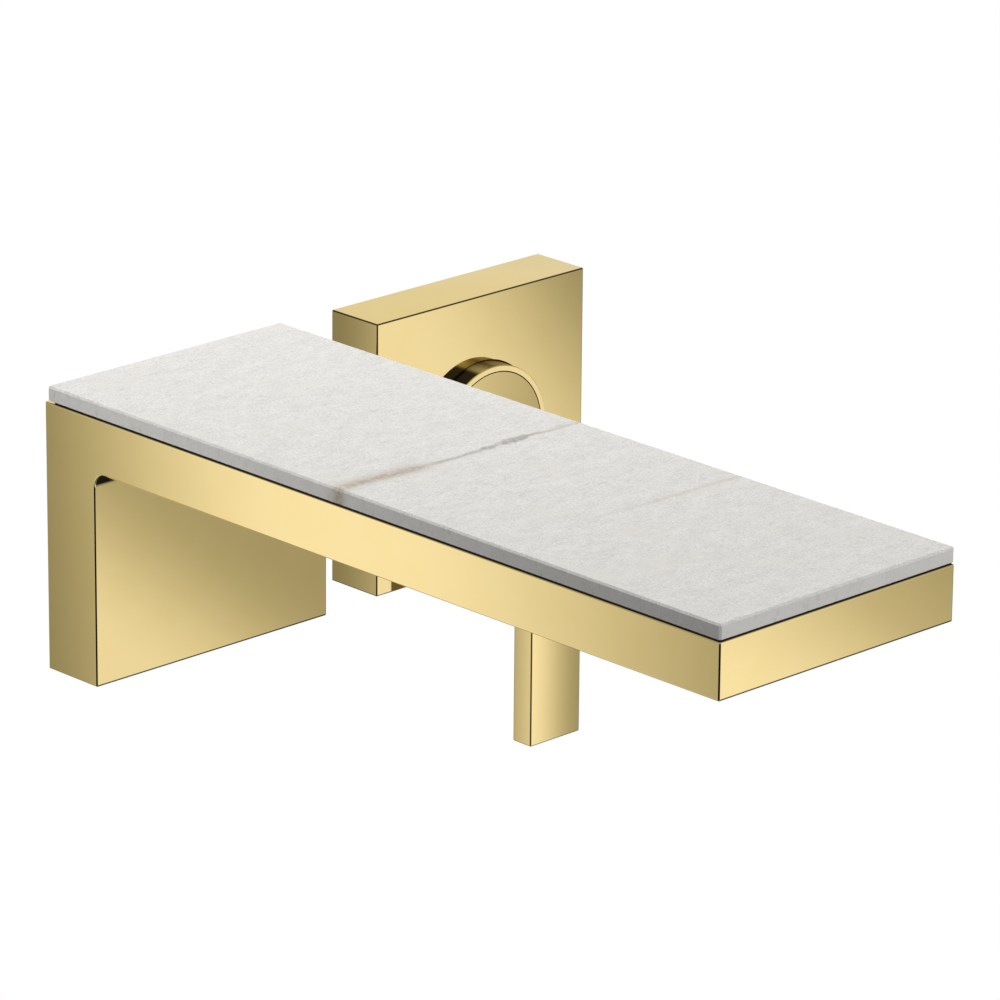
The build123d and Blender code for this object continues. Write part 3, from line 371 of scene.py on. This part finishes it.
MARBLE_PALE, MARBLE_GREY = (0.91, 0.896, 0.862, 1), (0.715, 0.703, 0.678, 1)
MARBLE_SHADE, MARBLE_GLINT = (0.58, 0.572, 0.555, 1), (0.97, 0.97, 0.955, 1)
MARBLE_WARM = (0.83, 0.795, 0.748, 1)
HONING_DEPTH = 0.02 * MM
VEIN_BROWN, VEIN_GREY = (0.44, 0.34, 0.24, 1), (0.27, 0.255, 0.245, 1)
VEIN_Y = -115.3 * MM
VEIN_LEFT, VEIN_RIGHT = (-6 * MM, -18 * MM), (25 * MM, 31 * MM)    # where its broad and its pale end set in
SMALL_CLOT = 6 * MM, 8.5 * MM, 10 * MM, 12 * MM                    # along the grey thread between them
LARGE_CLOT = 12 * MM, 16 * MM, 20 * MM, 25 * MM
BEND_LEFT, BEND_LEFT_X = 2.4 * MM, (4 * MM, -40 * MM)              # the left end drifts towards the wall,
BEND_RIGHT, BEND_RIGHT_X = 0.9 * MM, (22 * MM, 40 * MM)            # and the right end away from it
FAINT_VEIN_Y, FAINT_VEIN_SLOPE, FAINT_VEIN_X = -172 * MM, 0.06, (-6 * MM, 14 * MM)


def line_across(off, half_width, softness):
    """1 on a line, from its signed distance, and 0 past its soft edges."""
    return abs(off).rise(half_width + softness, half_width)


def straying(shader, wander, fray):
    """How far a vein strays from its line, with the reach of its slow wandering and of its frayed edge."""
    slow = shader.noise(55.0) - 0.5
    fine = shader.noise(420.0, detail=5.0, roughness=0.7) - 0.5
    return slow * wander + fine * fray


def brown_vein(shader):
    """The shares of brown and of grey: broad and brown at the left, then a grey thread with two clots."""
    x, y = shader.along(X), shader.along(Y)
    broken = shader.noise(650.0)
    left, right = x.rise(*VEIN_LEFT), x.rise(*VEIN_RIGHT)
    clots = x.within(*SMALL_CLOT) * 0.5 + x.within(*LARGE_CLOT)
    bend = x.rise(*BEND_LEFT_X) * BEND_LEFT - x.rise(*BEND_RIGHT_X) * BEND_RIGHT
    off = y - VEIN_Y - bend + straying(shader, wander=2.0 * MM, fray=2.4 * MM)
    halo = line_across(off, left * (1.0 * MM) + 0.1 * MM, left * (2.2 * MM) + 1.6 * MM)
    halo = halo * (left * 0.22 + right * 0.1 + 0.14)
    core = line_across(off + 0.3 * MM, 0.2 * MM, left * (1.5 * MM) + 0.6 * MM)
    core = core * broken.rise(0.3, 0.6) * (left * 0.45 + right * 0.12)
    thread = line_across(off, clots * (0.5 * MM) + 0.2 * MM, clots * (0.7 * MM) + 1.0 * MM)
    thread = thread * (broken.rise(0.32, 0.62) * 0.6 + 0.4) * (clots * 0.2 + 0.5 - left * 0.5 - right * 0.42)
    return halo + core, thread


def faint_vein(shader):
    """The share of brown in the faint vein, which shows on the right half alone."""
    x, y = shader.along(X), shader.along(Y)
    off = y - FAINT_VEIN_Y + x * FAINT_VEIN_SLOPE + straying(shader, wander=3 * MM, fray=1.5 * MM)
    broken = shader.noise(110.0).rise(0.3, 0.6)
    return line_across(off, 0.3 * MM, 1.2 * MM) * x.rise(*FAINT_VEIN_X) * broken * 0.25


def white_marble(shader):
    honed = abs(facing(shader)[Z]).rise(0.3, 0.9) * 0.7 + 0.3
    grain = (shader.noise(1700.0, detail=1.0) - 0.5) * honed
    mottle = (shader.noise(480.0, detail=2.0) - 0.5) * honed
    clouds = shader.noise(150.0, detail=1.0, place=shader.stretched(0.8, 1.3, 1.0)) - 0.5
    flecks = shader.noise(330.0, detail=2.0, place=shader.stretched(1.0, 2.4, 1.0))
    warmth = shader.noise(70.0, detail=2.0)
    specks = shader.cells(700.0)
    brown, grey = brown_vein(shader)

    tone = grain * 2.5 + mottle * 0.95 + clouds * 0.7 + 0.5
    stone = shader.mix(tone, MARBLE_GREY, MARBLE_PALE)
    stone = shader.mix(warmth.rise(0.5, 0.7) * 0.4, stone, MARBLE_WARM)
    stone = shader.mix(flecks.rise(0.61, 0.69) * 0.35, stone, MARBLE_SHADE)
    stone = shader.mix(specks.rise(0.22, 0.08) * grain.rise(0.0, 0.1), stone, MARBLE_GLINT)
    stone = shader.mix(faint_vein(shader), stone, VEIN_BROWN)
    stone = shader.mix(brown, stone, VEIN_BROWN)
    stone = shader.mix(grey, stone, VEIN_GREY)
    return shader.surface(
        base_color=stone, roughness=mottle * 0.12 + 0.52, specular_ior_level=0.25,
        normal=shader.bump(grain * 0.6 + mottle * 0.8, HONING_DEPTH))


# Finishes of the pieces behind the wall and inside.

CARRIER_BLACK, CARRIER_GREY = (0.012, 0.012, 0.013, 1), (0.022, 0.022, 0.023, 1)
FOAM_BLACK, FOAM_GREY = (0.05, 0.05, 0.05, 1), (0.18, 0.18, 0.17, 1)
STEEL_DULL, STEEL_BRIGHT = (0.50, 0.50, 0.505, 1), (0.66, 0.655, 0.65, 1)
COPPER_BRIGHT, COPPER_TARNISHED = (0.86, 0.43, 0.27, 1), (0.52, 0.24, 0.14, 1)
BRASS_BRIGHT, BRASS_TARNISHED = (0.78, 0.58, 0.27, 1), (0.54, 0.39, 0.17, 1)
GREY_PLASTIC = (0.34, 0.345, 0.35, 1), (0.27, 0.275, 0.28, 1)    # pale, deep
PALE_PLASTIC = (0.72, 0.72, 0.70, 1), (0.63, 0.63, 0.61, 1)
RUBBER_BLACK, RUBBER_BLOOM = (0.016, 0.016, 0.016, 1), (0.035, 0.035, 0.034, 1)
CERAMIC_DULL, CERAMIC_BRIGHT = (0.82, 0.80, 0.76, 1), (0.90, 0.885, 0.85, 1)


def moulded_black(shader):
    pits = shader.noise(2600.0, detail=2.0)
    tone = shader.mix(shader.noise(60.0), CARRIER_BLACK, CARRIER_GREY)
    return shader.surface(
        base_color=tone, roughness=pits * 0.2 + 0.45, normal=shader.bump(pits, 0.03 * MM))


def foam_tape(shader):
    pores = shader.cells(1800.0)
    tone = shader.mix(pores.rise(0.1, 0.5), FOAM_BLACK, FOAM_GREY)
    return shader.surface(base_color=tone, roughness=0.9, normal=shader.bump(pores, 0.1 * MM))


def brushed_steel(shader):
    lines = shader.noise(420.0, detail=5.0, place=shader.stretched(0.06, 1.0, 1.0))
    stains = shader.noise(35.0)
    tone = shader.mix(lines, STEEL_DULL, STEEL_BRIGHT)
    return shader.surface(
        base_color=tone, metallic=1.0, roughness=lines * 0.15 + stains * 0.12 + 0.22,
        normal=shader.bump(lines, 0.004 * MM))


def drawn_copper(shader):
    lines = shader.noise(700.0, detail=4.0, place=shader.stretched(0.05, 1.0, 1.0))
    tarnish = shader.noise(55.0, detail=5.0)
    tone = shader.mix(tarnish.rise(0.35, 0.75), COPPER_BRIGHT, COPPER_TARNISHED)
    return shader.surface(
        base_color=tone, metallic=1.0, roughness=tarnish * 0.25 + lines * 0.12 + 0.14,
        normal=shader.bump(lines, 0.004 * MM))


def raw_brass(shader):
    sand = shader.noise(1300.0, detail=4.0)
    tarnish = shader.noise(48.0, detail=5.0)
    tone = shader.mix(tarnish.rise(0.3, 0.75), BRASS_BRIGHT, BRASS_TARNISHED)
    return shader.surface(
        base_color=tone, metallic=1.0, roughness=tarnish * 0.2 + sand * 0.15 + 0.2,
        normal=shader.bump(sand, 0.02 * MM))


def moulded_plastic(shader, pale, deep):
    pits = shader.noise(1900.0)
    flow = shader.noise(40.0, place=shader.stretched(1.0, 0.4, 1.0))
    return shader.surface(
        base_color=shader.mix(flow, deep, pale), roughness=pits * 0.16 + 0.32,
        normal=shader.bump(pits, 0.015 * MM))


def black_rubber(shader):
    bloom = shader.noise(300.0, detail=4.0)
    tone = shader.mix(bloom.rise(0.4, 0.8), RUBBER_BLACK, RUBBER_BLOOM)
    return shader.surface(
        base_color=tone, roughness=bloom * 0.2 + 0.6, normal=shader.bump(bloom, 0.03 * MM))


def lapped_ceramic(shader):
    fired = shader.noise(800.0, detail=4.0)
    tone = shader.mix(fired, CERAMIC_DULL, CERAMIC_BRIGHT)
    return shader.surface(
        base_color=tone, roughness=fired * 0.12 + 0.12, normal=shader.bump(fired, 0.003 * MM))


GOLD_PIECES = {
    "spout_body": (spout_crown, spout_lines),
    "handle_plate": (plate_crown, plate_lines),
    "lever_bar": (lever_crown, lever_lines),
    "lever_hub": (hub_crown, None),
    "handle_sleeve": (sleeve_crown, sleeve_shade),
}
FINISHES = {
    "white_stone": finish("white_marble", white_marble),
    "black_carrier": finish("moulded_black", moulded_black),
    "bond_foam": finish("foam_tape", foam_tape),
    "steel": finish("brushed_steel", brushed_steel),
    "copper": finish("drawn_copper", drawn_copper),
    "raw_brass": finish("raw_brass", raw_brass),
    "grey_plastic": finish("grey_plastic", moulded_plastic, *GREY_PLASTIC),
    "outlet_plastic": finish("pale_plastic", moulded_plastic, *PALE_PLASTIC),
    "rubber": finish("black_rubber", black_rubber),
    "disc_ceramic": finish("lapped_ceramic", lapped_ceramic),
}


def give_finishes():
    slots = {piece["node"]: piece["material_slot"] for piece in frame["record"]["subparts"]}
    for name, piece in frame["nodes"].items():
        if name in GOLD_PIECES:
            material = finish("polished_gold_" + name, polished_gold, name, *GOLD_PIECES[name])
        else:
            material = FINISHES[slots[name]]
        piece.data.materials.clear()
        piece.data.materials.append(material)


# The studio: what the polished faces see, what lights the stone, a pale floor, and the camera.

BACKGROUND, SOFT_LIGHT = 1.0, 0.215    # what the camera sees, and what lights the stone
WHITE_LIGHT, DIM_LIGHT = (1, 1, 1, 1), (1, 0.985, 0.74, 1)    # the studio's bright and its darkest parts
FLOOR_Z, FLOOR_SIZE = -0.33, 16.0

# Brightness in the directions that the polished faces see, in degrees. Azimuth 0 is -Y, and 90 is +X.

STUDIO_LIGHT = 0.36
WHITE_BOX = (-156, -140, -137, -117.5), (-48, -34, -4, 14)    # its limits in azimuth, then in height
LIGHT_BOXES = {                                               # the same limits, then what each one adds
    "front": ((-30, 22, 33, 57), (-52, -34, 0, 24), 0.64),
    "left": ((-112, -101, -97, -62), (-40, -24, 20, 40), 0.5),
    "right": ((84, 118, 150, 172), (-50, -30, 40, 70), 0.42),
    "low right": ((100, 122, 148, 168), (-44, -30, -12, -2), 0.4),
}
TOP_BOX, TOP_LIGHT = (48, 80), 0.4
BACK_CORNER, BACK_SHADE = (-140, -156), 0.11
CAMERA_STAND, CAMERA_SHADE = ((-104, -66, -40, -12), (-60, -40, 30, 55)), 0.6
BELOW, BELOW_SHADE = (-36, -60), 0.6


def studio_sweep(shader):
    """How bright the studio is in each direction."""
    x, y, z = shader.parts_of(shader.node("TexCoord", output="Generated"))
    azimuth = x.math("ARCTAN2", -y) * math.degrees(1)
    height = z.math("ARCSINE") * math.degrees(1)

    def patch(azimuths, heights):
        return azimuth.within(*azimuths) * height.within(*heights)

    light = STUDIO_LIGHT - azimuth.rise(*BACK_CORNER) * BACK_SHADE
    light = light + patch(*WHITE_BOX) * (1 - light)
    for azimuths, heights, added in LIGHT_BOXES.values():
        light = light + patch(azimuths, heights) * added
    light = light + height.rise(*TOP_BOX) * TOP_LIGHT
    return light * (1 - patch(*CAMERA_STAND) * CAMERA_SHADE) * (1 - height.rise(*BELOW) * BELOW_SHADE)


def hang_studio():
    world = bpy.data.worlds.new("studio")
    bpy.context.scene.world = world
    world.use_nodes = True
    shader = Shader(world.node_tree)
    camera_ray = shader.node("LightPath", output="Is Camera Ray")
    glossy_ray = shader.node("LightPath", output="Is Glossy Ray")
    sweep = studio_sweep(shader)
    seen = glossy_ray * (sweep - SOFT_LIGHT) + SOFT_LIGHT
    strength = camera_ray * (BACKGROUND - seen) + seen
    colour = shader.mix(glossy_ray * (1 - sweep).most(0.0), WHITE_LIGHT, DIM_LIGHT)
    backdrop = shader.node("Background", sockets={"Color": colour, "Strength": strength})
    shader.node("OutputWorld", sockets={"Surface": backdrop})


def soft_lamp(name, place, aim, size, power):
    data = bpy.data.lights.new(name, "AREA")
    data.shape = "DISK"
    data.size = size
    data.energy = power
    lamp = bpy.data.objects.new(name, data)
    lamp.location = place
    lamp.rotation_euler = (Vector(aim) - Vector(place)).to_track_quat("-Z", "Y").to_euler()
    lamp.visible_camera = False
    lamp.visible_glossy = False
    bpy.context.scene.collection.objects.link(lamp)


def pale_floor(shader):
    """Bright enough to come out white, and clear from below so that the part shows."""
    white = shader.node("Emission", sockets={"Color": WHITE_LIGHT, "Strength": BACKGROUND})
    clear = shader.node("BsdfTransparent")
    from_below = shader.node("NewGeometry", output="Backfacing")
    return shader.node("MixShader", sockets={0: from_below, 1: white, 2: clear})


def lay_floor():
    half = FLOOR_SIZE / 2
    mesh = bpy.data.meshes.new("floor")
    corners = [(-half, -half, FLOOR_Z), (half, -half, FLOOR_Z), (half, half, FLOOR_Z), (-half, half, FLOOR_Z)]
    mesh.from_pydata(corners, [], [(0, 1, 2, 3)])
    mesh.materials.append(finish("pale_floor", pale_floor))
    floor = bpy.data.objects.new("floor", mesh)
    floor.visible_diffuse = False
    floor.visible_glossy = False
    floor.visible_shadow = False
    bpy.context.scene.collection.objects.link(floor)


CAMERA_PLACE = -1.077235, -1.24254, 0.5678
CAMERA_AZIMUTH, CAMERA_HEIGHT, CAMERA_ROLL = (math.radians(angle) for angle in (-44.051, 19.091, 0.527))
CAMERA_LENS, CAMERA_SENSOR = 233.65, 36.0


def set_camera():
    data = bpy.data.cameras.new("camera")
    data.sensor_width = CAMERA_SENSOR
    data.lens = CAMERA_LENS
    camera = bpy.data.objects.new("camera", data)
    flat = math.cos(CAMERA_HEIGHT)
    sine, cosine = math.sin(CAMERA_AZIMUTH), math.cos(CAMERA_AZIMUTH)
    back = Vector((sine * flat, -cosine * flat, math.sin(CAMERA_HEIGHT)))
    right = Vector((cosine, sine, 0))
    up = back.cross(right)
    turned = Matrix((right, up, back)).transposed() @ Matrix.Rotation(CAMERA_ROLL, 3, "Z")
    camera.matrix_world = Matrix.Translation(CAMERA_PLACE) @ turned.to_4x4()
    bpy.context.scene.collection.objects.link(camera)
    bpy.context.scene.camera = camera


give_finishes()
hang_studio()
soft_lamp("lamp_above_wall", place=(0.10, 0.25, 0.75), aim=(0, -0.08, 0.04), size=0.5, power=4.8)
soft_lamp("lamp_beside_spout", place=(-0.18, -0.03, 0.0), aim=(-0.04, -0.03, 0.038), size=0.15, power=0.094)
soft_lamp("lamp_in_front", place=(0.30, -1.20, 0.40), aim=(0, -0.2, 0), size=0.6, power=5.0)
lay_floor()
set_camera()
bpy.context.scene.view_settings.view_transform = "Standard"
